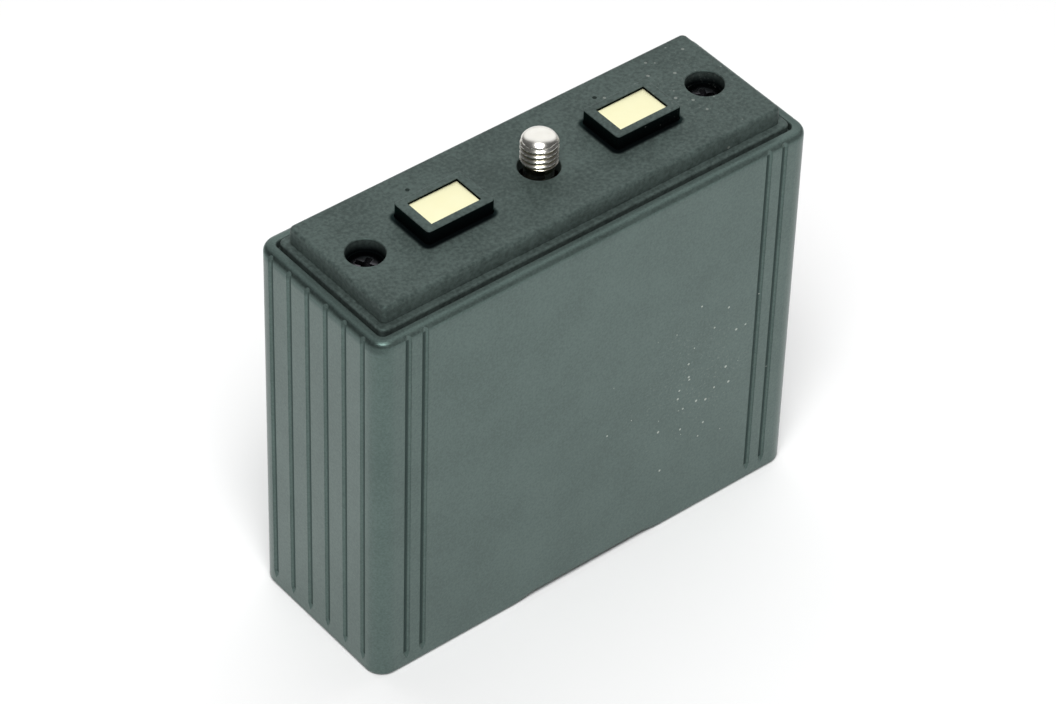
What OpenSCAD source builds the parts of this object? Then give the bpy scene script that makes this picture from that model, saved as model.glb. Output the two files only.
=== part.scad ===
// Screw-on rechargeable battery pack: a moulded case built around eight cells, a stepped lid with two
// contact plates, and a captive fixing screw that runs right through the pack.
// Base at z = 0, +Z up, width along X, depth along Y, all sizes in millimetres.

/* [Cells] */
// Diameter of one cell
cell_d = 10.5; // [9:0.1:14]
// Length of one cell, button included
cell_l = 44.5; // [35:0.5:65]
// Diameter of the raised button at the positive end
button_d = 3.6; // [2.5:0.1:5]
// Height of the raised button
button_h = 0.9; // [0.5:0.1:1.5]
// Space between the front row and the back row
row_gap = 0.2; // [0.1:0.1:1]
// Space between the two columns on each side, which the ribs of the case fill
column_gap = 3.13; // [2.4:0.01:5]
// Space between a cell and the round post or tube beside it
post_gap = 0.3; // [0.2:0.1:1]
// Space between a cell and the long wall of the case
cell_play = 0.45; // [0.2:0.05:1.5]

/* [Case] */
// Thickness of the case walls
wall = 1.65; // [1.4:0.05:2.2]
// Thickness of the case floor above the base relief
floor_t = 2; // [1.5:0.1:3]
// Radius of the upright outer edges
corner_r = 2.6; // [2.4:0.1:5]
// Rounding of the edge round the base
base_round = 0.5; // [0.2:0.1:1]
// Rounding of the outer edge of the rim
rim_round = 1; // [0.3:0.1:1.2]
// Height of the relief across the base
relief_h = 0.9; // [0.5:0.1:1.5]
// Width of the relief at its roof
relief_roof_w = 18.4; // [14:0.2:22]
// Width of the relief at the base
relief_mouth_w = 29.2; // [23:0.2:36]
// Thickness of the upright ribs between the cells
rib_t = 1.2; // [0.8:0.1:1.8]
// Chamfer of the rim's inner edge and of the edges of the holes
edge_ease = 0.1; // [0.05:0.05:0.4]
// Reach of the upright ribs from the long walls
rib_reach = 2.4; // [1.6:0.1:2.8]
// Radius of the two posts that take the lid screws
post_r = 2.75; // [2.4:0.05:3.5]

/* [Grip grooves] */
// Width of every groove
groove_w = 1; // [0.6:0.1:1.4]
// Depth of every groove as a share of its width
groove_share = 0.35; // [0.25:0.05:0.45]
// Number of grooves on each end
end_groove_count = 6; // [4:1:6]
// Space between the outermost groove on an end and the rounded upright edge
end_groove_edge = 0.2; // [0.1:0.1:2]
// Distance from the end face to the first groove on the long sides
side_groove_edge = 4.6; // [4:0.1:7]
// Spacing of the two grooves of a pair on the long sides
side_groove_pitch = 2.6; // [1.8:0.1:4]
// Height at which the grooves run out above the base
groove_foot = 1.5; // [1:0.1:6]
// Length over which a groove runs out
groove_run = 1; // [0.5:0.1:2]

/* [Lid] */
// Clearance between the tongue of the lid and the case
lid_fit = 0.15; // [0.05:0.05:0.4]
// Width of the open groove between the rim and the lid
parting_w = 0.35; // [0.3:0.05:0.8]
// Depth of that groove below the rim
parting_depth = 0.9; // [0.5:0.1:1.5]
// Height of the tongue that reaches into the case
tongue_h = 1.6; // [1:0.1:3]
// Height of the lid's flange above the rim
flange_rise = 0.5; // [0.2:0.1:1]
// Width of the flange round the raised top
flange_w = 0.95; // [0.5:0.05:1.5]
// Rounding of the flange's outer edge
flange_round = 0.3; // [0.1:0.1:0.3]
// Height of the raised top above the flange
top_rise = 2.5; // [2:0.1:4]
// Radius of the raised top's corners
top_corner_r = 0.8; // [0.6:0.1:3]
// Rounding of the raised top's upper edge
top_round = 0.5; // [0.1:0.1:0.6]
// Thickness of the lid's top plate
lid_t = 2; // [1.6:0.1:2.4]
// Thickness of the lid's side wall
lid_wall = 1.5; // [1:0.1:2.2]
// Free height for wiring between the insulating card and the lid
wire_room = 6.25; // [5.5:0.05:10]

/* [Locating holes] */
// Distance from the end face to the hole's centre
hole_inset = 7.6; // [7:0.1:12]
// Diameter of the locating hole
locating_d = 5.2; // [5:0.1:6.6]
// Depth of the locating hole
locating_depth = 1.9; // [1.6:0.1:3]
// Width of the ledge at the hole's foot, round the lid screw's head
ledge_w = 0.2; // [0.15:0.05:0.5]
// Thickness of the wall round the hole
cup_wall = 1.6; // [0.8:0.05:2]
// Thickness of the floor that the lid screw clamps
cup_floor_t = 1.2; // [0.8:0.1:1.6]

/* [Lid screws] */
// Diameter of the lid screw's shank
lid_screw_d = 2.2; // [1.8:0.1:2.6]
// Height of the lid screw's head
lid_screw_head_h = 1.8; // [1.2:0.1:2.2]
// Length of the lid screw below its head
lid_screw_l = 9; // [6:0.5:16]
// Depth of the pilot hole past the lid screw's end
pilot_extra = 1; // [0.5:0.5:3]
// Depth of the lid screw's head below the ledge
screw_sink = 0.1; // [0.1:0.1:0.5]
// Clearance round the lid screw's head
head_fit = 0.15; // [0.1:0.05:0.3]
// Clearance round the lid screw's shank
screw_fit = 0.05; // [0.02:0.01:0.2]

/* [Contacts] */
// Length of the contact plate
plate_l = 7.65; // [5:0.05:8.6]
// Width of the contact plate
plate_w = 4.75; // [4.2:0.05:5.4]
// Thickness of the contact plate
plate_t = 0.6; // [0.3:0.1:1]
// Depth of the plate below the carrier's rim
plate_sink = 0.2; // [0.1:0.05:0.5]
// Width of the tag under the plate
tag_w = 3; // [2:0.1:4]
// Thickness of the tag
tag_t = 0.5; // [0.3:0.1:0.8]
// Length of the tag below the carrier
tag_drop = 2.2; // [1.5:0.1:3]
// Width of the carrier's rim at the ends of the plate
carrier_rim_end = 1.45; // [0.8:0.05:1.8]
// Width of the carrier's rim along the sides of the plate
carrier_rim_side = 1.2; // [0.8:0.05:1.8]
// Height of the carrier above the lid
carrier_rise = 2; // [1.2:0.1:3]
// Corner radius of the carrier
carrier_corner_r = 0.5; // [0.3:0.1:0.9]
// Rounding of the carrier's upper edge
carrier_round = 0.2; // [0.1:0.05:0.25]
// Diameter of the round mark in the lid behind each carrier
mark_d = 0.6; // [0.4:0.1:1]
// Depth of the mark
mark_depth = 0.5; // [0.2:0.1:1]
// Distance of the mark to the right of the carrier's middle
mark_x = -0.9; // [-3:0.1:3]
// Distance of the mark behind the carrier's middle
mark_y = 6.3; // [5:0.1:7.5]
// Thickness of the carrier's foot under the lid
foot_t = 1.5; // [1:0.1:2]
// Reach of the carrier's foot to each side, for its stakes
foot_reach = 2.2; // [1.9:0.1:2.4]
// Space between the carrier's foot and the wall round the locating hole
foot_gap = 0.6; // [0.3:0.1:2]
// Clearance of the carrier in the lid, and of the plate and tag in the carrier
carrier_fit = 0.1; // [0.05:0.05:0.3]
// Radius of the melted stakes that hold the carriers
stake_r = 0.6; // [0.4:0.1:0.7]
// Radius of the stakes' flattened heads
stake_head_r = 1; // [0.8:0.1:1.1]
// Height of the stakes' heads
stake_head_h = 0.5; // [0.3:0.1:0.8]

/* [Fixing screw] */
// Thread diameter of the stud
stud_d = 5; // [4:0.1:6]
// Height of the stud above the lid
stud_rise = 5.5; // [4:0.1:12]
// Height above the lid at which the full thread starts
thread_start = 1.1; // [0.8:0.1:1.6]
// Height of the domed tip
tip_h = 1.5; // [0.5:0.1:2]
// Depth of the plain shank below the thread
shank_relief = 0.5; // [0.3:0.05:0.8]
// Clearance round the thread in the lid
stud_clear = 0.3; // [0.3:0.025:1]
// Diameter of the slotted head
head_d = 10; // [8:0.1:12]
// Height of the slotted head
head_h = 2.8; // [2:0.1:4]
// Depth of the head inside the base relief
head_sink = 0.3; // [0.1:0.1:1]
// Width of the coin slot
slot_w = 1.8; // [1:0.1:2.4]
// Depth of the coin slot
slot_depth = 1.5; // [0.8:0.1:1.6]
// Chamfer round the head
head_chamfer = 0.3; // [0.1:0.1:0.6]
// Clearance round the head in its recess
recess_fit = 0.4; // [0.2:0.1:0.8]
// Wall round the head's recess
recess_wall = 1.8; // [1.2:0.1:2.4]
// Thickness of the seat above the head's recess
seat_t = 2.4; // [2:0.1:4]
// Free play along the screw
axial_play = 0.05; // [0.02:0.01:0.2]

/* [Guide tube, washers and clip] */
// Clearance of the thread in the tube
tube_fit = 0.2; // [0.1:0.05:0.4]
// Wall of the guide tube
tube_wall = 0.9; // [0.6:0.05:1.2]
// Depth of the tube's socket in the case
socket_depth = 1.4; // [0.8:0.1:1.6]
// Clearance of the tube in its socket
socket_fit = 0.05; // [0.02:0.01:0.15]
// Height of the tube above the insulating card
tube_rise = 1.35; // [0.8:0.05:2]
// Thickness of both washers
washer_t = 0.5; // [0.3:0.1:0.8]
// Width of both washers' rings
washer_ring = 1.4; // [1:0.1:1.8]
// Depth of the shank's groove for the clip
clip_bite = 0.5; // [0.3:0.05:0.7]
// Width of the clip's ring
clip_ring = 2.45; // [2:0.05:2.7]
// Thickness of the clip
clip_t = 0.7; // [0.4:0.1:1]
// Amount by which the clip's mouth is narrower than its groove
clip_grip = 0.4; // [0.2:0.1:0.8]
// Radius of the clip's relief notches
notch_r = 0.8; // [0.5:0.1:1]
// Angle of the notches from the clip's widest line, away from the mouth
notch_turn = 35; // [20:5:50]
// Clearance of the clip in its groove
clip_fit = 0.05; // [0.02:0.01:0.1]

/* [Links, card, pad and wiring] */
// Thickness of the nickel links
link_t = 0.2; // [0.1:0.05:0.4]
// Width of the nickel links
link_w = 3; // [2:0.1:3.2]
// Length of a link past the cell's centre
link_end = 1.8; // [1:0.1:2.5]
// Space between the case's seat and the lower links
link_clear = 0.2; // [0.1:0.05:0.6]
// Thickness of the insulating card on top of the cells
card_t = 0.6; // [0.3:0.1:1]
// Clearance of the card and the pad round what passes through them
card_fit = 0.25; // [0.1:0.05:0.5]
// Outer diameter of the insulated leads
lead_d = 1.6; // [1:0.1:2]
// Reach of the leads' short bends
lead_bend = 5; // [4:0.5:6]
// Reach of the long bend on the way to the fuse
lead_run = 21; // [15:1:22]
// Gap between a lead's end and what it is joined to
joint_gap = 0.05; // [0.02:0.01:0.2]
// Diameter of the thermal fuse
fuse_d = 3.2; // [2.4:0.1:3.6]
// Length of the thermal fuse's can
fuse_l = 8; // [6:0.5:9]
// Distance of the fuse's can from the middle of the pack
fuse_x = 6; // [5.5:0.1:7]
// Distance of the fuse behind the middle line of the back row
fuse_back = 0.65; // [0.25:0.05:1]
// Diameter of the fuse's wire ends
fuse_wire_d = 0.8; // [0.5:0.1:1]
// Length of the fuse's wire ends
fuse_wire_l = 1.5; // [1:0.1:2]

/* [Hidden] */
$fn = 48;

// Overlap of unions and overshoot of cuts
eps = 0.1;
// Straight steps in each quarter round
arc_steps = 8;

// Plan: the cells nest against the tube in the middle, and the posts nest against the cells
cell_r = cell_d / 2;
row_y = cell_r + row_gap / 2;
bore_r = stud_d / 2 + tube_fit;
tube_r = bore_r + tube_wall;
function nest(r) = sqrt(pow(cell_r + r + post_gap, 2) - pow(row_y, 2));
inner_x = nest(tube_r);
outer_x = inner_x + cell_d + column_gap;
rib_x = (inner_x + outer_x) / 2;
hole_x = outer_x + nest(post_r);
case_w = 2 * (hole_x + hole_inset);
case_d = 2 * (row_y + cell_r + cell_play + wall);
cells = [
    [-outer_x, -row_y], [-inner_x, -row_y], [inner_x, -row_y], [outer_x, -row_y],
    [outer_x, row_y], [inner_x, row_y], [-inner_x, row_y], [-outer_x, row_y]
];

end_groove_y = case_d / 2 - corner_r - end_groove_edge - groove_w / 2;
end_groove_pitch = 2 * end_groove_y / (end_groove_count - 1);
groove_depth = groove_share * groove_w;
groove_r = (pow(groove_w / 2, 2) + pow(groove_depth, 2)) / (2 * groove_depth);
groove_out = groove_r - groove_depth;

// Heights, from the base up
head_z = relief_h + head_sink;
head_washer_z = head_z + head_h + axial_play;
seat_z = head_washer_z + washer_t;
seat_top_z = seat_z + seat_t;
floor_z = relief_h + floor_t;
low_link_z = seat_top_z + link_clear;
cell_z = low_link_z + link_t;
top_link_z = cell_z + cell_l;
card_z = top_link_z + link_t;
card_top_z = card_z + card_t;
tube_z = seat_top_z - socket_depth;
tube_top_z = card_top_z + tube_rise;
clip_z = tube_top_z + washer_t + axial_play;
plate_under_z = card_top_z + wire_room;
top_z = plate_under_z + lid_t;
screw_seat_z = top_z - locating_depth - screw_sink - lid_screw_head_h;
post_top_z = screw_seat_z - cup_floor_t;
flange_z = top_z - top_rise;
rim_z = flange_z - flange_rise;
parting_z = rim_z - parting_depth;
tongue_z = parting_z - tongue_h;
carrier_top_z = top_z + carrier_rise;
carrier_z = plate_under_z - foot_t;
plate_z = carrier_top_z - plate_sink - plate_t;
tag_z = carrier_z - tag_drop;
thread_z = top_z + thread_start;
tip_z = top_z + stud_rise;

// Insets of the lid's steps from the outer face of the case
tongue_inset = wall + lid_fit;
flange_inset = wall + parting_w;
top_inset = flange_inset + flange_w;
cavity_inset = top_inset + lid_wall;

stud_hole_r = stud_d / 2 + stud_clear;
shank_r = stud_d / 2 - shank_relief;
clip_groove_r = shank_r - clip_bite;
recess_r = head_d / 2 + recess_fit;
screw_seat_r = locating_d / 2 - ledge_w;
lid_screw_head_r = screw_seat_r - head_fit;
screw_hole_r = lid_screw_d / 2 + screw_fit;
cup_r = locating_d / 2 + cup_wall;
carrier_l = plate_l + 2 * carrier_rim_end;
carrier_w = plate_w + 2 * carrier_rim_side;
contact_x = hole_x - cup_r - foot_gap - foot_reach - carrier_l / 2;
stake_x = carrier_l / 2 + foot_reach / 2;
pack_w = 2 * (outer_x + cell_r + post_gap);
pack_d = 2 * (row_y + cell_r + card_fit);
fuse_y = row_y + fuse_back;
fuse_z = card_top_z + fuse_d / 2;

plastic = [0.16, 0.18, 0.17];
nickel = [0.75, 0.74, 0.70];
gold = [0.90, 0.80, 0.45];

// Points of a quarter round about a centre, from one angle to another
function quarter(c, r, from, to) =
    [for (i = [0:arc_steps]) let (a = from + (to - from) * i / arc_steps) c + r * [cos(a), sin(a)]];

// Edge that is rounded below and above, as points of offset from the plan and height
function round_edge(h, low, high) = concat(
    low > 0 ? quarter([-low, low], low, -90, 0) : [[0, 0]],
    high > 0 ? quarter([-high, h - high], high, 0, 90) : [[0, h]]
);

module rounded_rect(w, d, r) {
    square([w - 2 * r, d], center = true);
    square([w, d - 2 * r], center = true);
    for (x = [-1, 1], y = [-1, 1]) translate([x * (w / 2 - r), y * (d / 2 - r)]) circle(r);
}

// Slab with upright corners of radius r and an edge given from the bottom up
module slab(w, d, r, edge) {
    last = len(edge) - 1;
    module span(width, length) {
        right = [for (e = edge) [width / 2 + e[0], e[1]]];
        left = [for (i = [last:-1:0]) [-right[i][0], right[i][1]]];
        linear_extrude(length, center = true) polygon(concat(right, left));
    }
    turned = [for (e = edge) [r + e[0], e[1]]];
    rotate([90, 0, 0]) span(w, d - 2 * r);
    rotate([90, 0, 90]) span(d, w - 2 * r);
    for (x = [-1, 1], y = [-1, 1]) {
        translate([x * (w / 2 - r), y * (d / 2 - r), 0])
            rotate_extrude() polygon(concat([[0, edge[0][1]]], turned, [[0, edge[last][1]]]));
    }
}

// Cone that eases the edge of a hole of radius r, opening upwards from z = 0
module hole_ease(r) {
    translate([0, 0, -edge_ease]) cylinder(r1 = r, r2 = r + edge_ease + eps, h = edge_ease + eps);
}

// Prism with the case's plan, set in by a distance
module plan_prism(inset, r, from_z, to_z) {
    translate([0, 0, from_z])
        linear_extrude(to_z - from_z) rounded_rect(case_w - 2 * inset, case_d - 2 * inset, r);
}

module ring(r_in, r_out, h) {
    difference() {
        cylinder(r = r_out, h = h);
        translate([0, 0, -eps]) cylinder(r = r_in, h = h + 2 * eps);
    }
}

// Groove cutter, centred outside the face, that runs out in a cone at its foot
module groove() {
    tip_r = groove_out / 2;
    low_z = groove_foot - groove_run * tip_r / groove_depth;
    full_z = groove_foot + groove_run;
    high_z = rim_z + eps;
    rotate_extrude()
        polygon([[0, low_z], [tip_r, low_z], [groove_r, full_z], [groove_r, high_z], [0, high_z]]);
}

module grip_grooves() {
    end_x = case_w / 2 + groove_out;
    pair_x = case_w / 2 - side_groove_edge;
    pair_y = case_d / 2 + groove_out;
    for (side = [-1, 1]) {
        for (i = [0:end_groove_count - 1])
            translate([side * end_x, i * end_groove_pitch - end_groove_y, 0]) groove();
        for (i = [0, 1], face = [-1, 1])
            translate([side * (pair_x - i * side_groove_pitch), face * pair_y, 0]) groove();
    }
}

// Channel with sloped ends across the base, which keeps the screw head off the ground
module base_relief() {
    roof = relief_roof_w / 2;
    mouth = relief_mouth_w / 2;
    below = mouth + (mouth - roof) / relief_h * eps;
    rotate([90, 0, 0]) linear_extrude(case_d + 2 * eps, center = true)
        polygon([[-below, -eps], [below, -eps], [roof, relief_h], [-roof, relief_h]]);
}

module cell_ribs() {
    for (x = [-rib_x, 0, rib_x], flip = [0, 1]) mirror([0, flip, 0])
        translate([x - rib_t / 2, case_d / 2 - wall - rib_reach, floor_z - eps])
            cube([rib_t, rib_reach + wall / 2, tongue_z - floor_z + eps]);
}

// Round posts for the lid screws, each tied to the end wall by a web that ends below the lid's tongue
module lid_posts() {
    web_z = tongue_z - lid_fit;
    for (flip = [0, 1]) mirror([flip, 0, 0]) translate([hole_x, 0, floor_z - eps]) {
        cylinder(r = post_r, h = post_top_z - floor_z + eps);
        translate([0, -rib_t / 2, 0]) cube([hole_inset - wall / 2, rib_t, web_z - floor_z + eps]);
    }
}

// Chamfer of the rim's inner edge
module rim_ease() {
    flare = [[0, 0], [edge_ease, edge_ease], [edge_ease, edge_ease + eps]];
    translate([0, 0, rim_z - edge_ease]) slab(case_w - 2 * wall, case_d - 2 * wall, corner_r - wall, flare);
}

module case() {
    color(plastic) difference() {
        union() {
            difference() {
                slab(case_w, case_d, corner_r, round_edge(rim_z, base_round, rim_round));
                plan_prism(wall, corner_r - wall, floor_z, rim_z + eps);
                rim_ease();
            }
            translate([0, 0, floor_z - eps])
                cylinder(r = recess_r + recess_wall, h = seat_top_z - floor_z + eps);
            cell_ribs();
            lid_posts();
        }
        base_relief();
        grip_grooves();
        cylinder(r = recess_r, h = seat_z);
        translate([0, 0, relief_h]) mirror([0, 0, 1]) hole_ease(recess_r);
        cylinder(r = bore_r, h = seat_top_z + eps);
        translate([0, 0, tube_z]) cylinder(r = tube_r + socket_fit, h = socket_depth + eps);
        for (side = [-1, 1])
            translate([side * hole_x, 0, screw_seat_z - lid_screw_l - pilot_extra])
                cylinder(r = screw_hole_r, h = lid_screw_l + pilot_extra);
    }
}

module lid_shell() {
    flange_l = case_w - 2 * flange_inset;
    flange_d = case_d - 2 * flange_inset;
    flange_edge = round_edge(flange_z - parting_z + eps, 0, flange_round);
    top_w = case_w - 2 * top_inset;
    top_d = case_d - 2 * top_inset;
    top_edge = round_edge(top_rise + eps, 0, top_round);
    difference() {
        union() {
            plan_prism(tongue_inset, corner_r - wall, tongue_z, parting_z);
            translate([0, 0, parting_z - eps]) slab(flange_l, flange_d, corner_r - wall, flange_edge);
            translate([0, 0, flange_z - eps]) slab(top_w, top_d, top_corner_r, top_edge);
        }
        plan_prism(cavity_inset, top_corner_r, tongue_z - eps, plate_under_z);
    }
}

module carrier_stakes(side) {
    for (x = [-stake_x, stake_x]) translate([side * contact_x + x, 0, 0]) {
        translate([0, 0, carrier_z - eps]) cylinder(r = stake_r, h = foot_t + 2 * eps);
        translate([0, 0, carrier_z - stake_head_h]) cylinder(r = stake_head_r, h = stake_head_h);
    }
}

// Cups that reach down to the lid posts
module hole_cups() {
    for (side = [-1, 1])
        translate([side * hole_x, 0, post_top_z]) cylinder(r = cup_r, h = plate_under_z - post_top_z + eps);
}

// Locating hole, with the lid screw's seat and clearance hole below it
module locating_cut() {
    translate([0, 0, top_z - locating_depth]) cylinder(d = locating_d, h = locating_depth + eps);
    translate([0, 0, screw_seat_z]) cylinder(r = screw_seat_r, h = top_z - screw_seat_z);
    translate([0, 0, top_z]) hole_ease(locating_d / 2);
    translate([0, 0, post_top_z - eps]) cylinder(r = screw_hole_r, h = cup_floor_t + 2 * eps);
}

module carrier_cut() {
    l = carrier_l + 2 * carrier_fit;
    w = carrier_w + 2 * carrier_fit;
    translate([0, 0, plate_under_z - eps])
        linear_extrude(lid_t + 2 * eps) rounded_rect(l, w, carrier_corner_r + carrier_fit);
}

module lid() {
    color(plastic) difference() {
        union() {
            lid_shell();
            hole_cups();
            carrier_stakes(-1);
            carrier_stakes(1);
        }
        cylinder(r = stud_hole_r, h = top_z + eps);
        translate([0, 0, top_z]) hole_ease(stud_hole_r);
        for (side = [-1, 1]) {
            translate([side * contact_x, 0, 0]) carrier_cut();
            translate([side * contact_x + mark_x, mark_y, top_z - mark_depth])
                cylinder(d = mark_d, h = mark_depth + eps);
            translate([side * hole_x, 0, 0]) locating_cut();
        }
    }
}

// Insulating block with a recess for the plate, a slot for its tag and a staked foot
module contact_carrier(side) {
    block_edge = round_edge(carrier_top_z - carrier_z, 0, carrier_round);
    color(plastic) translate([side * contact_x, 0, 0]) difference() {
        union() {
            translate([0, 0, carrier_z]) slab(carrier_l, carrier_w, carrier_corner_r, block_edge);
            translate([0, 0, carrier_z]) linear_extrude(foot_t)
                rounded_rect(carrier_l + 2 * foot_reach, carrier_w, carrier_corner_r);
        }
        translate([-plate_l / 2 - carrier_fit, -plate_w / 2 - carrier_fit, plate_z])
            cube([plate_l + 2 * carrier_fit, plate_w + 2 * carrier_fit, plate_t + plate_sink + eps]);
        translate([-tag_w / 2 - carrier_fit, -tag_t / 2 - carrier_fit, carrier_z - eps])
            cube([tag_w + 2 * carrier_fit, tag_t + 2 * carrier_fit, plate_z - carrier_z + 2 * eps]);
        for (x = [-stake_x, stake_x]) translate([x, 0, carrier_z - eps])
            cylinder(r = stake_r + carrier_fit, h = foot_t + 2 * eps);
    }
}

module contact(side) {
    color(gold) translate([side * contact_x, 0, 0]) {
        translate([-plate_l / 2, -plate_w / 2, plate_z]) cube([plate_l, plate_w, plate_t]);
        translate([-tag_w / 2, -tag_t / 2, tag_z]) cube([tag_w, tag_t, plate_z - tag_z + plate_t / 2]);
    }
}

// Slotted head, plain shank with the clip's groove, full thread diameter above the lid and a domed tip
module fixing_screw() {
    head_r = head_d / 2;
    stud_r = stud_d / 2;
    clip_top_z = clip_z + clip_t + 2 * clip_fit;
    dome_z = tip_z - tip_h;
    dome = [for (p = quarter([0, 0], 1, 0, 90)) [stud_r * p[0], dome_z + tip_h * p[1]]];
    color(nickel) difference() {
        rotate_extrude() polygon(concat([
            [0, head_z], [head_r - head_chamfer, head_z], [head_r, head_z + head_chamfer],
            [head_r, head_z + head_h], [shank_r, head_z + head_h], [shank_r, clip_z], [clip_groove_r, clip_z],
            [clip_groove_r, clip_top_z], [shank_r, clip_top_z], [shank_r, thread_z - shank_relief],
            [stud_r, thread_z]
        ], dome));
        translate([-head_r - eps, -slot_w / 2, head_z - eps])
            cube([head_d + 2 * eps, slot_w, slot_depth + eps]);
    }
}

module head_washer() {
    color(nickel) translate([0, 0, head_washer_z]) ring(bore_r, bore_r + washer_ring, washer_t);
}

module clip_washer() {
    color(nickel) translate([0, 0, tube_top_z]) ring(bore_r, bore_r + washer_ring, washer_t);
}

// Clip that is pushed on from the side: a ring with an open mouth and two relief notches
module retaining_clip() {
    inner_r = clip_groove_r + clip_fit;
    outer_r = inner_r + clip_ring;
    mouth = 2 * clip_groove_r - clip_grip;
    color([0.35, 0.35, 0.37]) translate([0, 0, clip_z + clip_fit]) linear_extrude(clip_t) difference() {
        circle(outer_r);
        circle(inner_r);
        translate([-mouth / 2, 0]) square([mouth, outer_r + eps]);
        for (a = [-notch_turn, 180 + notch_turn])
            rotate(a) translate([inner_r + notch_r / 2, 0]) circle(notch_r);
    }
}

module guide_tube() {
    color([0.85, 0.85, 0.80]) translate([0, 0, tube_z]) ring(bore_r, tube_r, tube_top_z - tube_z);
}

module lid_screws() {
    color(nickel) for (side = [-1, 1]) translate([side * hole_x, 0, screw_seat_z]) {
        cylinder(r = lid_screw_head_r, h = lid_screw_head_h);
        translate([0, 0, -lid_screw_l]) cylinder(d = lid_screw_d, h = lid_screw_l + eps);
    }
}

// Cells stand button up and button down in turn, so that the links join them in series
module cell(i) {
    turn = i % 2 == 0 ? 0 : 180;
    end = cell_l / 2;
    color([0.25, 0.45, 0.35]) translate([cells[i][0], cells[i][1], cell_z + end]) rotate([turn, 0, 0])
        rotate_extrude() polygon([
            [0, -end], [cell_r, -end], [cell_r, end - button_h],
            [button_d / 2, end - button_h], [button_d / 2, end], [0, end]
        ]);
}

// Flat strip over the tops or bottoms of two neighbouring cells
module link(a, b, z) {
    mid = (a + b) / 2;
    run = norm(b - a);
    turn = atan2(b[1] - a[1], b[0] - a[0]);
    translate([mid[0], mid[1], z]) rotate(turn) translate([-run / 2 - link_end, -link_w / 2, 0])
        cube([run + 2 * link_end, link_w, link_t]);
}

module top_links() {
    color(nickel) {
        for (i = [1, 3, 5]) link(cells[i], cells[i + 1], top_link_z);
        for (i = [0, 7]) link(cells[i] - [link_end / 2, 0], cells[i] + [link_end / 2, 0], top_link_z);
    }
}

module bottom_links() {
    color(nickel) for (i = [0, 2, 4, 6]) link(cells[i], cells[i + 1], low_link_z);
}

// Plan of the card and the pad, cut clear of the ribs and the lid posts
module pack_plan() {
    slot = rib_t + 2 * card_fit;
    slot_in = case_d / 2 - wall - rib_reach - card_fit;
    difference() {
        square([pack_w, pack_d], center = true);
        for (x = [-rib_x, 0, rib_x], flip = [0, 1]) mirror([0, flip])
            translate([x - slot / 2, slot_in]) square([slot, pack_d / 2 - slot_in + eps]);
        for (side = [-1, 1]) translate([side * hole_x, 0]) circle(post_r + 2 * card_fit);
    }
}

module top_insulator() {
    color([0.80, 0.72, 0.55]) translate([0, 0, card_z]) linear_extrude(card_t) difference() {
        pack_plan();
        circle(tube_r + card_fit);
        for (i = [0, 7]) translate(cells[i]) circle(lead_d / 2 + card_fit);
    }
}

module bottom_pad() {
    color([0.30, 0.30, 0.32]) translate([0, 0, floor_z]) linear_extrude(low_link_z - floor_z) difference() {
        pack_plan();
        circle(recess_r + recess_wall + card_fit);
    }
}

module thermal_fuse() {
    color([0.75, 0.70, 0.60]) translate([fuse_x, fuse_y, fuse_z]) rotate([0, 90, 0]) {
        cylinder(d = fuse_d, h = fuse_l);
        translate([0, 0, -fuse_wire_l]) cylinder(d = fuse_wire_d, h = fuse_l + 2 * fuse_wire_l);
    }
}

// Point and direction on a cubic curve through four control points
function curve_point(p, t) = let (s = 1 - t)
    s * s * s * p[0] + 3 * t * s * s * p[1] + 3 * t * t * s * p[2] + t * t * t * p[3];
function curve_way(p, t) = let (
    s = 1 - t,
    d = s * s * (p[1] - p[0]) + 2 * t * s * (p[2] - p[1]) + t * t * (p[3] - p[2])
) d / norm(d);

// Ring of points round the curve; side is a direction that the curve never runs along
function lead_ring(p, t, side, sides) = let (
    r = lead_d / 2,
    way = curve_way(p, t),
    across = cross(way, side) / norm(cross(way, side)),
    over = cross(way, across)
) [
    for (k = [0:sides - 1]) let (a = 360 * k / sides)
        curve_point(p, t) + r * cos(a) * across + r * sin(a) * over
];

// Insulated lead swept along a cubic curve
module lead(p, side) {
    rings = 16;
    sides = 8;
    points = [for (i = [0:rings]) each lead_ring(p, i / rings, side, sides)];
    skin = [for (i = [0:rings - 1], k = [0:sides - 1])
        let (next = (k + 1) % sides, low = i * sides, high = low + sides)
        [low + k, high + k, high + next, low + next]];
    caps = [[for (k = [0:sides - 1]) k], [for (k = [sides - 1:-1:0]) rings * sides + k]];
    color([0.55, 0.10, 0.08]) polyhedron(points, concat(skin, caps));
}

// From the first cell's tab up to the left contact's tag
module lead_left() {
    start = [cells[0][0], cells[0][1], card_z + joint_gap];
    end = [-contact_x, -tag_t / 2 - joint_gap, tag_z + lead_d / 2];
    lead([start, start + [0, 0, lead_bend], end - [0, lead_bend / 2, 0], end], [1, 0, 0]);
}

// From the last cell's tab along the card to the thermal fuse
module lead_fuse() {
    start = [cells[7][0], cells[7][1], card_z + joint_gap];
    end = [fuse_x - fuse_wire_l - joint_gap, fuse_y, fuse_z];
    lead([start, start + [0, 0, fuse_d], end - [lead_run, 0, 0], end], [0, 1, 0]);
}

// From the thermal fuse round to the right contact's tag
module lead_right() {
    start = [fuse_x + fuse_l + fuse_wire_l + joint_gap, fuse_y, fuse_z];
    end = [contact_x, tag_t / 2 + joint_gap, tag_z + lead_d / 2];
    lead([start, start + [lead_bend, 0, 0], end + [0, lead_bend, 0], end], [0, 0, 1]);
}

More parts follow.
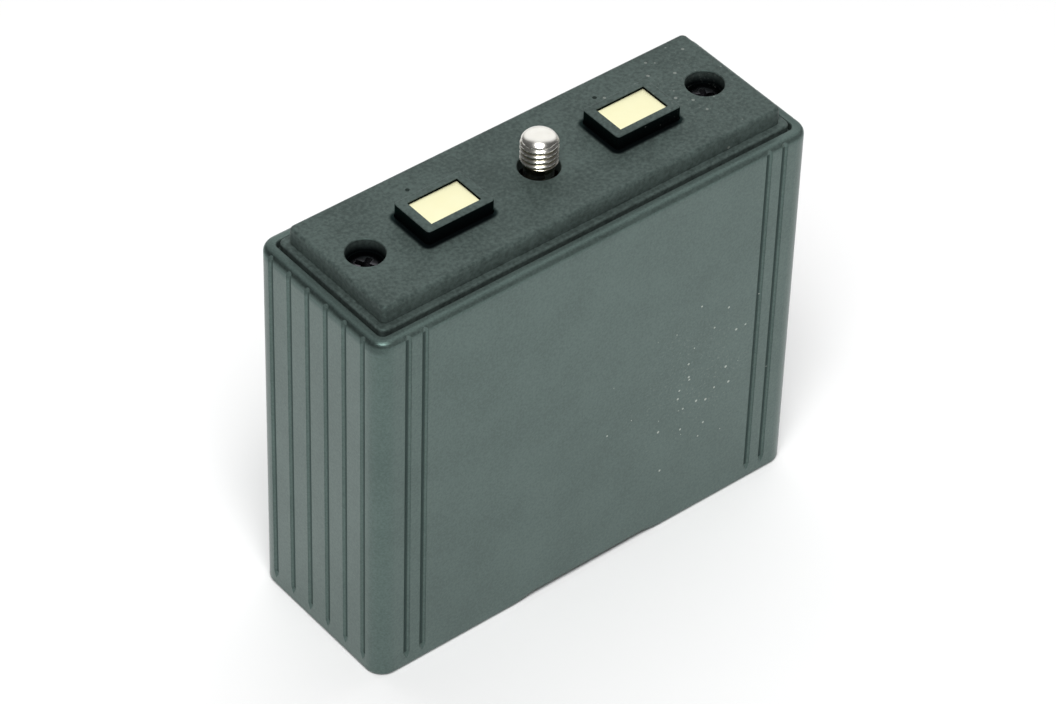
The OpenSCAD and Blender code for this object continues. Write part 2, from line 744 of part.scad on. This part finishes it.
case();
lid();
contact_carrier(-1);  // contact_carrier_left
contact_carrier(1);  // contact_carrier_right
contact(-1);  // contact_left
contact(1);  // contact_right
fixing_screw();
head_washer();
retaining_clip();
clip_washer();
guide_tube();
lid_screws();
cell(0);  // cell_1
cell(1);  // cell_2
cell(2);  // cell_3
cell(3);  // cell_4
cell(4);  // cell_5
cell(5);  // cell_6
cell(6);  // cell_7
cell(7);  // cell_8
top_links();
bottom_links();
thermal_fuse();
lead_left();
lead_fuse();
lead_right();
top_insulator();
bottom_pad();
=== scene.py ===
import math

import bmesh
import bpy
from mathutils import Matrix, Vector


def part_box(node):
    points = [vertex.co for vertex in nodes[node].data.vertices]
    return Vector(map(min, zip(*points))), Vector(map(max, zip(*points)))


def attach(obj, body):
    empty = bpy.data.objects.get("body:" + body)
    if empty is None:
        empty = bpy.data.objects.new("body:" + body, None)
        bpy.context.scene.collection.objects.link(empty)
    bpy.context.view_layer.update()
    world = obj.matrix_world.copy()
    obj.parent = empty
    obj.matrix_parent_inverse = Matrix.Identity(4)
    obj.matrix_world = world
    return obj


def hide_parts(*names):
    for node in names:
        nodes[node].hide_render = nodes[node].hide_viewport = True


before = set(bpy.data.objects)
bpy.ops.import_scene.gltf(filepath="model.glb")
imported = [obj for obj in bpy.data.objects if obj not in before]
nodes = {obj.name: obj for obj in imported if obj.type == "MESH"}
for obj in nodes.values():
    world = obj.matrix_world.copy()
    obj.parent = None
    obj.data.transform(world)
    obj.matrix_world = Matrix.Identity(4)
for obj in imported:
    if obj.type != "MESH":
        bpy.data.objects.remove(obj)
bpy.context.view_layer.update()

scene = bpy.context.scene
scene.view_settings.view_transform = "Standard"
MM = 0.001

# Places taken from the frame, in millimetres
case_half_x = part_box("case")[1][0] / MM
case_half_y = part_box("case")[1][1] / MM
rim_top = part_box("case")[1][2] / MM
lid_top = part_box("lid")[1][2] / MM
carrier_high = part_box("contact_carrier_right")[1] / MM
plate_low, plate_high = (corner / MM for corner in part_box("contact_right"))
screw_low, screw_high = (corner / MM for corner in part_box("fixing_screw"))
clip_low, clip_high = (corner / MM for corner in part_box("retaining_clip"))
lid_screw_low, lid_screw_high = (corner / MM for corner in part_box("lid_screws"))

# Sizes that the boxes of the frame don't give, and places worked out with them, in millimetres
HOLE_INSET = 7.6
CARRIER_RIM_END = 1.45
CARRIER_CORNER = 0.5
CASE_CORNER = 2.6
STUD_R = 2.5
hole_x = case_half_x - HOLE_INSET
plate_size = plate_high - plate_low
carrier_x = (plate_low.x + plate_high.x) / 2

# Camera, fitted to the outline of the pack in the photograph
IMAGE_W = 1056
FOCAL_PX = 4489.2
SENSOR_W = 36.0
AZIMUTH = math.radians(-40.0)
ELEVATION = math.radians(42.31)
ROLL = math.radians(1.84)
DISTANCE = 585.2 * MM
AIM = Vector((0, 0, 30)) * MM
AIM_RIGHT = -0.64 * MM
AIM_UP = -0.55 * MM
CLIP_START = 10 * MM


def photo_camera():
    level = math.cos(ELEVATION)
    back = Vector((math.sin(AZIMUTH) * level, -math.cos(AZIMUTH) * level, math.sin(ELEVATION)))
    right = Vector((math.cos(AZIMUTH), math.sin(AZIMUTH), 0))
    up = back.cross(right)
    rolled_right = math.cos(ROLL) * right + math.sin(ROLL) * up
    rolled_up = math.cos(ROLL) * up - math.sin(ROLL) * right
    data = bpy.data.cameras.new("photo_camera")
    data.sensor_width = SENSOR_W
    data.lens = SENSOR_W * FOCAL_PX / IMAGE_W
    data.clip_start = CLIP_START
    camera = bpy.data.objects.new("photo_camera", data)
    turn = Matrix((rolled_right, rolled_up, back)).transposed().to_4x4()
    place = AIM + DISTANCE * back + AIM_RIGHT * rolled_right + AIM_UP * rolled_up
    camera.matrix_world = Matrix.Translation(place) @ turn
    scene.collection.objects.link(camera)
    scene.camera = camera


class Wire:
    """One output of a node, with arithmetic that adds Math nodes."""

    def __init__(self, sheet, socket):
        self.sheet = sheet
        self.socket = socket

    def math(self, operation, *others):
        return self.sheet.add("ShaderNodeMath", {"operation": operation}, dict(enumerate((self, *others))))

    def from_left(self, operation, other):
        return self.sheet.add("ShaderNodeMath", {"operation": operation}, {0: other, 1: self})

    def __add__(self, other):
        return self.math("ADD", other)

    def __radd__(self, other):
        return self.from_left("ADD", other)

    def __sub__(self, other):
        return self.math("SUBTRACT", other)

    def __rsub__(self, other):
        return self.from_left("SUBTRACT", other)

    def __mul__(self, other):
        return self.math("MULTIPLY", other)

    def __rmul__(self, other):
        return self.from_left("MULTIPLY", other)

    def __lt__(self, other):
        return self.math("LESS_THAN", other)

    def __gt__(self, other):
        return self.math("GREATER_THAN", other)


def hypotenuse(first, second):
    """Length of two wires at right angles."""
    return (first * first + second * second).math("SQRT")


class Sheet:
    """A node tree that nodes are added to, one method call each."""

    def __init__(self, tree):
        self.tree = tree

    def add(self, kind, settings=None, sockets=None, output=0):
        node = self.tree.nodes.new(kind)
        for name, value in (settings or {}).items():
            setattr(node, name, value)
        for name, value in (sockets or {}).items():
            self.plug(node.inputs[name], value)
        return Wire(self, node.outputs[output])

    def plug(self, socket, value):
        if isinstance(value, Wire):
            self.tree.links.new(value.socket, socket)
        else:
            socket.default_value = value

    def mix(self, factor, first, second):
        sockets = {0: factor, 6: first, 7: second}
        return self.add("ShaderNodeMix", {"data_type": "RGBA"}, sockets, output=2)

    def ease(self, value, low, high):
        settings = {"interpolation_type": "SMOOTHSTEP"}
        return self.add("ShaderNodeMapRange", settings, {0: value, 1: low, 2: high})


FAINTEST_SPECK = 0.2


class Finish(Sheet):
    """A material with one Principled shader; positions are in millimetres."""

    def __init__(self, name, **constants):
        self.material = bpy.data.materials.new(name)
        self.material.use_nodes = True
        super().__init__(self.material.node_tree)
        self.shader = self.tree.nodes["Principled BSDF"]
        for words, value in constants.items():
            socket = words.replace("_", " ").title().replace("Ior", "IOR")
            self.shader.inputs[socket].default_value = value
        place = self.add("ShaderNodeTexCoord", output="Object")
        scale = {0: place, "Scale": 1 / MM}
        self.place = self.add("ShaderNodeVectorMath", {"operation": "SCALE"}, scale)

    def feed(self, socket, value):
        self.plug(self.shader.inputs[socket], value)

    def noise(self, size, detail=2.0, roughness=0.5):
        sockets = {"Vector": self.place, "Scale": 1 / size, "Detail": detail, "Roughness": roughness}
        return self.add("ShaderNodeTexNoise", None, sockets)

    def bump(self, height, depth):
        """Bumps of a height from 0 to 1 times a depth in millimetres."""
        sockets = {"Strength": 1.0, "Distance": depth * MM, "Height": height}
        self.feed("Normal", self.add("ShaderNodeBump", None, sockets))

    def away(self, spot):
        ends = {0: self.place, 1: spot}
        return self.add("ShaderNodeVectorMath", {"operation": "DISTANCE"}, ends, output="Value")

    def axes(self):
        return [self.add("ShaderNodeSeparateXYZ", None, {0: self.place}, output=i) for i in range(3)]

    def specks(self, spacing, radius, share):
        """Round specks up to a radius, the small ones fainter, in a share of the cells of a spacing."""
        sockets = {"Vector": self.place, "Scale": 1 / spacing}
        distance = self.add("ShaderNodeTexVoronoi", None, sockets)
        cell = self.add("ShaderNodeTexVoronoi", None, sockets, output="Color")
        pick = self.add("ShaderNodeSeparateColor", None, {0: cell})
        size = self.add("ShaderNodeSeparateColor", None, {0: cell}, output=1)
        strength = FAINTEST_SPECK + size * (1 - FAINTEST_SPECK)
        return (distance < size * (radius / spacing)) * (pick < share) * strength


# Painted shade, in millimetres and in shares of black; a fade runs from no painted shade to all of it
GROOVE_HEIGHTS = (1.4, rim_top - 1.0)
GROOVE_FADE = (0.24, 0.35)
GROOVE_SHARE = 0.75
RIM_FADE = (rim_top - 2.0, rim_top - 1.2)
RIM_SHARE = 0.06
RIM_END_FADE = (2.4, 0.2)
RIM_END_SHARE = 0.36
HOLE_R = 2.65
HOLE_FADE = (lid_top - 0.2, lid_top - 2.0)
JUST_ABOVE_LID = lid_top + 0.02
CARRIER_WALL_TOP = carrier_high.z - 0.1
FOOT_SHIFT = 0.25
FOOT_FADE = (1.35, 0.8)
ROOT_SHADE_FADE = (STUD_R - 0.05, STUD_R - 0.28)
ROOT_SHADE_TOP = 65.0


def case_painted_shade(finish):
    """Painted shade at the bottom of the grip grooves and on the rim, more of it on the rim of the two
    ends.
    """
    x, y, height = finish.axes()
    from_end = case_half_x - x.math("ABSOLUTE")
    from_side = case_half_y - y.math("ABSOLUTE")
    flat = from_end.math("MAXIMUM", from_side) > CASE_CORNER
    deep = finish.ease(from_end.math("MINIMUM", from_side), *GROOVE_FADE)
    low, high = GROOVE_HEIGHTS
    # Painted shade down the grooves and under the rim, heavier on the rim of both ends
    groove = deep * flat * (height > low) * (height < high) * GROOVE_SHARE
    rim_share = RIM_SHARE + finish.ease(from_end, *RIM_END_FADE) * RIM_END_SHARE
    return groove.math("MAXIMUM", finish.ease(height, *RIM_FADE) * rim_share)


def lid_painted_shade(finish):
    """Painted black shade down the locating holes and on the carriers' walls, and a painted shadow round
    the carriers' feet.

    The painted shadow round the feet lies a little further out to the front and to the left.
    """
    x, y, height = finish.axes()
    # Painted shade down the locating holes, deepening towards their floor
    hole = hypotenuse(x.math("ABSOLUTE") - hole_x, y) < HOLE_R
    from_carrier = (x + FOOT_SHIFT).math("ABSOLUTE") - carrier_x
    half_x = plate_size.x / 2 + CARRIER_RIM_END - CARRIER_CORNER
    half_y = carrier_high.y - CARRIER_CORNER
    past_end = (from_carrier.math("ABSOLUTE") - half_x).math("MAXIMUM", 0.0)
    past_side = ((y + FOOT_SHIFT).math("ABSOLUTE") - half_y).math("MAXIMUM", 0.0)
    # Painted shadow round the carriers' feet, cast towards the front and the left
    foot = finish.ease(hypotenuse(past_end, past_side), *FOOT_FADE) * (height < JUST_ABOVE_LID)
    # Painted shade on the carriers' walls
    wall = (height > JUST_ABOVE_LID) * (height < CARRIER_WALL_TOP)
    return (hole * finish.ease(height, *HOLE_FADE)).math("MAXIMUM", foot).math("MAXIMUM", wall)


# Finishes, with sizes in millimetres
PLASTIC_IOR = 1.65
GREEN_SHEEN = (0.64, 0.98, 0.89, 1)
# Painted shade: a near-black colour, and a Metallic share that takes the sheen off it
PAINTED_SHADE_BLACK = (0.004, 0.006, 0.007, 1)
PAINTED_SHADE_METAL = 0.85
DUST_GREY = (0.50, 0.52, 0.48, 1)
DUST_SHARE = 0.55
FLECK_SIZE = 0.35
FLECK_EDGE = (0.58, 0.72)
FLECK_SHARE = 0.12
PATCH_SIZE = 7.0
PATCH_SHARE = 0.3
TONE_EDGE = (0.3, 0.7)
GOLD_BLOOM = 2.0
NICKEL_BLOOM = 1.2
METAL_BLOOM = 1.0
ROOT_SHADE_BROWN = (0.40, 0.37, 0.26, 1)
COVER_DEPTH = 0.01


def moulded_plastic(name, tones, specular, gloss, grain_size, grain_depth, dust_fall, painted_shade):
    """Black moulding with a greenish cast: fine grain, faint patches, painted shade, and dust round one
    spot.
    """
    finish = Finish(name, ior=PLASTIC_IOR, specular_ior_level=specular, specular_tint=GREEN_SHEEN)
    grain = finish.noise(grain_size, detail=3.0, roughness=0.6)
    patches = finish.noise(PATCH_SIZE)
    spot, reach, spacing, radius, strength = dust_fall
    dusty = finish.ease(finish.away(spot), reach, 0.0)
    dust = finish.specks(spacing, radius, DUST_SHARE * dusty) * strength
    flecks = finish.ease(finish.noise(FLECK_SIZE), *FLECK_EDGE) * dusty * FLECK_SHARE
    mottle = grain * (1 - PATCH_SHARE) + patches * PATCH_SHARE
    tone = finish.mix(finish.ease(mottle, *TONE_EDGE), *tones)
    # Painted shade darkens the tone to black and, through Metallic, dulls its sheen
    dark = painted_shade(finish)
    tone = finish.mix(dark, tone, PAINTED_SHADE_BLACK)
    finish.feed("Base Color", finish.mix(dust.math("MAXIMUM", flecks), tone, DUST_GREY))
    finish.feed("Metallic", dark * PAINTED_SHADE_METAL)
    finish.feed("Roughness", gloss + grain * 0.08 + patches * 0.03 + dust * 0.2)
    finish.bump(grain, grain_depth)
    return finish.material


def gold_plate():
    finish = Finish("gold_plate", metallic=1.0)
    bloom = finish.noise(GOLD_BLOOM, detail=3.0)
    finish.feed("Base Color", finish.mix(bloom, (0.98, 0.94, 0.60, 1), (1.0, 0.98, 0.68, 1)))
    finish.feed("Roughness", 0.33 + bloom * 0.12)
    return finish.material


def bright_nickel():
    """Bright plate, with painted brown shade at the roots of the stud's thread."""
    finish = Finish("bright_nickel", metallic=1.0)
    bloom = finish.noise(NICKEL_BLOOM, detail=3.0)
    bright = finish.mix(bloom, (0.86, 0.84, 0.77, 1), (0.97, 0.96, 0.91, 1))
    x, y, height = finish.axes()
    threaded = (height > JUST_ABOVE_LID) * (height < ROOT_SHADE_TOP)
    # Painted shade: the thread's roots darkened to brown
    root_shade = finish.ease(hypotenuse(x, y), *ROOT_SHADE_FADE) * threaded
    finish.feed("Base Color", finish.mix(root_shade, bright, ROOT_SHADE_BROWN))
    finish.feed("Roughness", 0.18 + bloom * 0.1)
    return finish.material


def plain_metal(name, low, high, roughness):
    finish = Finish(name, metallic=1.0)
    bloom = finish.noise(METAL_BLOOM, detail=4.0)
    finish.feed("Base Color", finish.mix(bloom, low, high))
    finish.feed("Roughness", roughness + bloom * 0.15)
    return finish.material


def plain_cover(name, low, high, roughness, grain_size):
    finish = Finish(name)
    grain = finish.noise(grain_size, detail=4.0)
    finish.feed("Base Color", finish.mix(grain, low, high))
    finish.feed("Roughness", roughness + grain * 0.15)
    finish.bump(grain, COVER_DEPTH)
    return finish.material


def dress(material, *names):
    for name in names:
        slots = nodes[name].data.materials
        slots.clear()
        slots.append(material)


# The dust's middle, its reach, the spacing and largest radius of its specks, and its strength
case_dust = ((17, -case_half_y, 25), 19.0, 0.8, 0.22, 0.8)
lid_dust = ((25, 0, 61), 13.0, 0.8, 0.25, 0.3)
# Both plastics carry painted shade: in the case's grooves and on its rim, and in the lid's holes, on the
# carriers' walls and round their feet
case_plastic = moulded_plastic(
    "case_plastic", ((0.038, 0.051, 0.047, 1), (0.074, 0.099, 0.091, 1)), specular=0.6, gloss=0.28,
    grain_size=0.3, grain_depth=0.012, dust_fall=case_dust, painted_shade=case_painted_shade)
lid_plastic = moulded_plastic(
    "lid_plastic", ((0.032, 0.042, 0.039, 1), (0.072, 0.095, 0.088, 1)), specular=0.2, gloss=0.42,
    grain_size=0.5, grain_depth=0.03, dust_fall=lid_dust, painted_shade=lid_painted_shade)
dress(case_plastic, "case")
dress(lid_plastic, "lid", "contact_carrier_left", "contact_carrier_right")
zinc = plain_metal("zinc_plate", (0.45, 0.45, 0.44, 1), (0.62, 0.62, 0.60, 1), 0.25)
dress(zinc, "head_washer", "clip_washer")
spring_steel = plain_metal("black_spring_steel", (0.06, 0.06, 0.065, 1), (0.12, 0.12, 0.13, 1), 0.3)
dress(spring_steel, "retaining_clip")
strip = plain_metal("nickel_strip", (0.55, 0.54, 0.50, 1), (0.70, 0.69, 0.64, 1), 0.25)
dress(strip, "top_links", "bottom_links")
nylon = plain_cover("natural_nylon", (0.62, 0.60, 0.50, 1), (0.72, 0.70, 0.60, 1), 0.4, 1.5)
dress(nylon, "guide_tube")
sleeve = plain_cover("cell_sleeve", (0.03, 0.12, 0.07, 1), (0.05, 0.16, 0.10, 1), 0.2, 3.0)
dress(sleeve, *[f"cell_{i}" for i in range(1, 9)])
lacquer = plain_cover("fuse_lacquer", (0.45, 0.38, 0.26, 1), (0.55, 0.48, 0.34, 1), 0.3, 1.0)
dress(lacquer, "thermal_fuse")
insulation = plain_cover("lead_insulation", (0.04, 0.004, 0.003, 1), (0.06, 0.006, 0.005, 1), 0.35, 0.8)
dress(insulation, "lead_left", "lead_fuse", "lead_right")
card = plain_cover("fibre_card", (0.50, 0.40, 0.22, 1), (0.62, 0.52, 0.32, 1), 0.7, 0.4)
dress(card, "top_insulator")
foam = plain_cover("pad_foam", (0.02, 0.02, 0.022, 1), (0.05, 0.05, 0.052, 1), 0.8, 0.3)
dress(foam, "bottom_pad")

# Detail pieces, drawn in millimetres
EASE_STEPS = 5
EDGE_SEGMENTS = 3
MERGE_GAP = 0.001
SHARP_ANGLE = math.radians(35)
THREAD_PITCH = 0.8
THREAD_DEPTH = 0.3
THREAD_FADE = 0.5
THREAD_CREST = 0.125


def eased(corners):
    """Outline of (radius, height, ease) corners, each rounded over its ease."""
    line = []
    for before, corner, after in zip(corners, corners[1:], corners[2:]):
        middle = Vector(corner[:2])
        start = middle + (Vector(before[:2]) - middle).normalized() * corner[2]
        end = middle + (Vector(after[:2]) - middle).normalized() * corner[2]
        for i in range(EASE_STEPS + 1 if corner[2] else 1):
            share = i / EASE_STEPS
            line.append(start.lerp(middle, share).lerp(middle.lerp(end, share), share))
    return [tuple(point) for point in [corners[0][:2], *line, corners[-1][:2]]]


def rings(radius, low, high, step):
    """Points up a straight wall, a step apart, that stop short of its top."""
    return [(radius, low + step * i) for i in range(round((high - low) / step))]


def turned(bm, outline, steps):
    """Solid of revolution about Z."""
    points = [bm.verts.new((r, 0, z)) for r, z in outline]
    edges = [bm.edges.new(pair) for pair in zip(points, points[1:])]
    bmesh.ops.spin(bm, geom=points + edges, axis=(0, 0, 1), angle=math.tau, steps=steps, use_merge=True)
    bmesh.ops.remove_doubles(bm, verts=bm.verts, dist=MERGE_GAP)
    bmesh.ops.recalc_face_normals(bm, faces=bm.faces)


def cut_thread(bm, radius, low, high):
    """Sink a right-hand thread between two heights, fading in from the lower one."""
    for vert in bm.verts:
        reach = math.hypot(vert.co.x, vert.co.y)
        if low < vert.co.z < high and reach > 0:
            turn = math.atan2(vert.co.y, vert.co.x) / math.tau
            wave = abs(2 * ((vert.co.z / THREAD_PITCH - turn) % 1) - 1)
            flank = min(max((wave - THREAD_CREST) / (1 - 2 * THREAD_CREST), 0), 1)
            sink = THREAD_DEPTH * flank * min((vert.co.z - low) / THREAD_FADE, 1)
            vert.co.xy *= min(reach, radius - sink) / reach


def new_object(name, bm):
    bmesh.ops.scale(bm, vec=(MM, MM, MM), verts=bm.verts)
    mesh = bpy.data.meshes.new(name)
    bm.to_mesh(mesh)
    bm.free()
    piece = bpy.data.objects.new(name, mesh)
    scene.collection.objects.link(piece)
    return piece


def cut_out(piece, cutter):
    modifier = piece.modifiers.new("cut", "BOOLEAN")
    modifier.object = cutter
    bpy.context.view_layer.update()
    solved = piece.evaluated_get(bpy.context.evaluated_depsgraph_get())
    piece.data = bpy.data.meshes.new_from_object(solved)
    piece.modifiers.clear()
    bpy.data.objects.remove(cutter)


def settle(piece, node, body, material):
    """Hand a finished piece to the frame in place of a CAD node."""
    piece.data.shade_smooth()
    piece.data.set_sharp_from_angle(angle=SHARP_ANGLE)
    piece.data.materials.clear()
    piece.data.materials.append(material)
    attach(piece, body)
    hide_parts(node)


# Captive screw
HEAD_H = 2.8
HEAD_EASES = (0.4, 0.2)
NECK_EASE = 0.3
SHANK_R = 2.0
CLIP_SEAT_R = 1.5
CLIP_PLAY = 0.05
SHANK_RISE = 0.6
STUD_START = 1.1
TIP_H = 1.5
TIP_STEPS = 48
STUD_RING = 0.05
STUD_TURN_STEPS = 128
STUD_RUN_IN = 0.4
STUD_RUN_OUT = 0.7
SLOT_L = 12.0
SLOT_W = 1.8
SLOT_DEPTH = 1.5
SLOT_EASE = 0.25


def coin_slot():
    """Cutter for the slot in the head, with eased edges along its floor."""
    bm = bmesh.new()
    bmesh.ops.create_cube(bm, size=1)
    bmesh.ops.scale(bm, vec=(SLOT_L, SLOT_W, 2 * SLOT_DEPTH), verts=bm.verts)
    bmesh.ops.translate(bm, vec=(0, 0, screw_low.z), verts=bm.verts)
    floor = [edge for edge in bm.edges if all(vert.co.z > screw_low.z for vert in edge.verts)]
    floor = [edge for edge in floor if abs(edge.verts[0].co.x - edge.verts[1].co.x) > SLOT_W]
    bmesh.ops.bevel(
        bm, geom=floor, offset=SLOT_EASE, segments=EDGE_SEGMENTS, profile=0.5, affect="EDGES", material=-1)
    return new_object("coin_slot", bm)


def captive_screw(material):
    head_r = screw_high.x
    head_top = screw_low.z + HEAD_H
    seat_low = clip_low.z - CLIP_PLAY
    seat_high = clip_high.z + CLIP_PLAY
    stud_low = lid_top + STUD_START
    tip_low = screw_high.z - TIP_H
    shank = eased([
        (0, screw_low.z, 0), (head_r, screw_low.z, HEAD_EASES[0]), (head_r, head_top, HEAD_EASES[1]),
        (SHANK_R, head_top, NECK_EASE), (SHANK_R, seat_low, 0), (CLIP_SEAT_R, seat_low, 0),
        (CLIP_SEAT_R, seat_high, 0), (SHANK_R, seat_high, 0), (SHANK_R, lid_top + SHANK_RISE, 0),
        (STUD_R, stud_low, 0),
    ])
    stud = rings(STUD_R, stud_low, tip_low, STUD_RING)
    angles = [math.pi / 2 * i / TIP_STEPS for i in range(TIP_STEPS)]
    tip = [(STUD_R * math.cos(a), tip_low + TIP_H * math.sin(a)) for a in angles]
    bm = bmesh.new()
    turned(bm, shank[:-1] + stud + tip + [(0, screw_high.z)], STUD_TURN_STEPS)
    cut_thread(bm, STUD_R, stud_low - STUD_RUN_IN, tip_low + STUD_RUN_OUT)
    screw = new_object("captive_screw", bm)
    cut_out(screw, coin_slot())
    settle(screw, "fixing_screw", "screw", material)


# Lid screws, each with a cross recess turned its own way
LID_SCREW_R = 1.1
LID_HEAD_R = 2.25
LID_HEAD_H = 1.8
LID_HEAD_EASE = 0.7
LID_NECK = 0.2
LID_NECK_EASE = 0.1
LID_TAPER_H = 1.5
LID_POINT = (0.3, 0.1)
LID_RING = 0.1
LID_TURN_STEPS = 64
LID_RUN_IN = 0.2
LID_RUN_OUT = 0.4
CROSS_ARM = 1.45
CROSS_HALF = 0.42
CROSS_FOOT = 0.55
CROSS_FLARE = 2.2
CROSS_H = 1.8
CROSS_DEPTH = 1.1
CROSS_TURNS = {-1: 0.5, 1: 1.1}


def cross_recess(side):
    """Tapered cross that cuts into a lid screw and whose top lies above the head."""
    bm = bmesh.new()
    quarter = [(CROSS_HALF, CROSS_HALF), (CROSS_HALF, CROSS_ARM), (-CROSS_HALF, CROSS_ARM)]
    outline = []
    for _ in range(4):
        outline += quarter
        quarter = [(-y, x) for x, y in quarter]
    foot = bm.faces.new([bm.verts.new((CROSS_FOOT * x, CROSS_FOOT * y, 0)) for x, y in outline])
    raised = bmesh.ops.extrude_face_region(bm, geom=[foot])["geom"]
    top = [item for item in raised if isinstance(item, bmesh.types.BMVert)]
    bmesh.ops.scale(bm, vec=(CROSS_FLARE, CROSS_FLARE, 1), verts=top)
    bmesh.ops.translate(bm, vec=(0, 0, CROSS_H), verts=top)
    bmesh.ops.recalc_face_normals(bm, faces=bm.faces)
    bmesh.ops.rotate(bm, matrix=Matrix.Rotation(CROSS_TURNS[side], 3, "Z"), verts=bm.verts)
    bmesh.ops.translate(bm, vec=(side * hole_x, 0, lid_screw_high.z - CROSS_DEPTH), verts=bm.verts)
    return new_object("cross_recess", bm)


def lid_screw(side):
    low = lid_screw_low.z
    high = lid_screw_high.z
    head_low = high - LID_HEAD_H
    neck = head_low - LID_NECK
    point_r, point_h = LID_POINT
    head = eased([
        (LID_SCREW_R, neck, 0), (LID_SCREW_R, head_low, LID_NECK_EASE),
        (LID_HEAD_R, head_low, LID_NECK_EASE), (LID_HEAD_R, high, LID_HEAD_EASE), (0, high, 0),
    ])
    shank = rings(LID_SCREW_R, low + LID_TAPER_H, neck, LID_RING)
    bm = bmesh.new()
    turned(bm, [(0, low), (point_r, low + point_h)] + shank + head[1:], LID_TURN_STEPS)
    cut_thread(bm, LID_SCREW_R, low + LID_RUN_IN, head_low - LID_RUN_OUT)
    bmesh.ops.translate(bm, vec=(side * hole_x, 0, 0), verts=bm.verts)
    screw = new_object("lid_screw", bm)
    cut_out(screw, cross_recess(side))
    return screw


def lid_screw_pair(material):
    screws = [lid_screw(side) for side in (-1, 1)]
    bm = bmesh.new()
    for screw in screws:
        bm.from_mesh(screw.data)
        bpy.data.objects.remove(screw)
    bmesh.ops.scale(bm, vec=(1 / MM, 1 / MM, 1 / MM), verts=bm.verts)
    settle(new_object("lid_screw_pair", bm), "lid_screws", "pack", material)


# Contact plates
PLATE_T = 0.6
PLATE_EASE = 0.12
TAG_W = 3.0
TAG_T = 0.5
TAG_INSET = 2.1


def contact_plate(side, material):
    """Plate with eased upper edges and a solder tag that goes down from its middle."""
    name = "left" if side < 0 else "right"
    bm = bmesh.new()
    bmesh.ops.create_cube(bm, size=1)
    bmesh.ops.scale(bm, vec=(plate_size.x, plate_size.y, PLATE_T), verts=bm.verts)
    under = [face for face in bm.faces if face.normal.z < -0.5]
    bmesh.ops.inset_individual(bm, faces=under, thickness=TAG_INSET)
    for vert in under[0].verts:
        vert.co.x = math.copysign(TAG_W / 2, vert.co.x)
        vert.co.y = math.copysign(TAG_T / 2, vert.co.y)
    drop = bmesh.ops.extrude_face_region(bm, geom=under)["geom"]
    tag = [item for item in drop if isinstance(item, bmesh.types.BMVert)]
    bmesh.ops.delete(bm, geom=under, context="FACES_ONLY")
    bmesh.ops.translate(bm, vec=(0, 0, PLATE_T - plate_size.z), verts=tag)
    rim = [edge for edge in bm.edges if all(vert.co.z > 0 for vert in edge.verts)]
    upright = [edge for edge in bm.edges if abs(edge.verts[0].co.z - edge.verts[1].co.z) > PLATE_T / 2]
    posts = [edge for edge in upright if abs(edge.verts[0].co.x) > TAG_W]
    bmesh.ops.bevel(
        bm, geom=rim + posts, offset=PLATE_EASE, segments=EDGE_SEGMENTS, profile=0.5, affect="EDGES",
        material=-1)
    bmesh.ops.recalc_face_normals(bm, faces=bm.faces)
    bmesh.ops.translate(bm, vec=(side * carrier_x, 0, plate_high.z - PLATE_T / 2), verts=bm.verts)
    plate = new_object(f"contact_plate_{name}", bm)
    settle(plate, f"contact_{name}", "pack", material)


captive_screw(bright_nickel())
lid_screw_pair(plain_metal("black_oxide", (0.09, 0.085, 0.095, 1), (0.17, 0.165, 0.18, 1), 0.16))
gold = gold_plate()
contact_plate(-1, gold)
contact_plate(1, gold)

# Floor and light, in metres; the edge of the sweep is given as cosines
FLOOR_HALF = 8.0
FLOOR_DROP = 0.02 * MM
SWEEP_EDGE = (0.55, 0.75)


def pale_floor():
    bm = bmesh.new()
    bmesh.ops.create_grid(bm, x_segments=2, y_segments=2, size=FLOOR_HALF)
    bmesh.ops.translate(bm, vec=(0, 0, -FLOOR_DROP), verts=bm.verts)
    mesh = bpy.data.meshes.new("floor")
    bm.to_mesh(mesh)
    bm.free()
    floor = bpy.data.objects.new("floor", mesh)
    scene.collection.objects.link(floor)
    finish = Finish("floor_paper", base_color=(0.96, 0.96, 0.96, 1), roughness=0.9, specular_ior_level=0.0)
    mesh.materials.append(finish.material)


def back_sweep(level, axis):
    """A white surround behind the object, dimmed to a level on the camera's side."""
    world = bpy.data.worlds.new("back_sweep")
    world.use_nodes = True
    scene.world = world
    sheet = Sheet(world.node_tree)
    ends = {0: sheet.add("ShaderNodeTexCoord", output="Generated"), 1: axis}
    along = sheet.add("ShaderNodeVectorMath", {"operation": "DOT_PRODUCT"}, ends, output="Value")
    background = world.node_tree.nodes["Background"]
    background.inputs["Color"].default_value = (1, 1, 1, 1)
    sheet.plug(background.inputs["Strength"], level + sheet.ease(along, *SWEEP_EDGE) * (1 - level))


def softbox(name, place, size, energy):
    data = bpy.data.lights.new(name, "AREA")
    data.shape = "RECTANGLE"
    data.size, data.size_y = size
    data.energy = energy
    lamp = bpy.data.objects.new(name, data)
    lamp.location = place
    lamp.rotation_mode = "QUATERNION"
    lamp.rotation_quaternion = (Vector(place) - AIM).to_track_quat("Z", "Y")
    scene.collection.objects.link(lamp)


photo_camera()
pale_floor()
back_sweep(level=0.08, axis=(0.50, 0.58, 0.64))
softbox("front_softbox", place=(-0.34, -0.40, 1.07), size=(0.6, 0.6), energy=12.0)
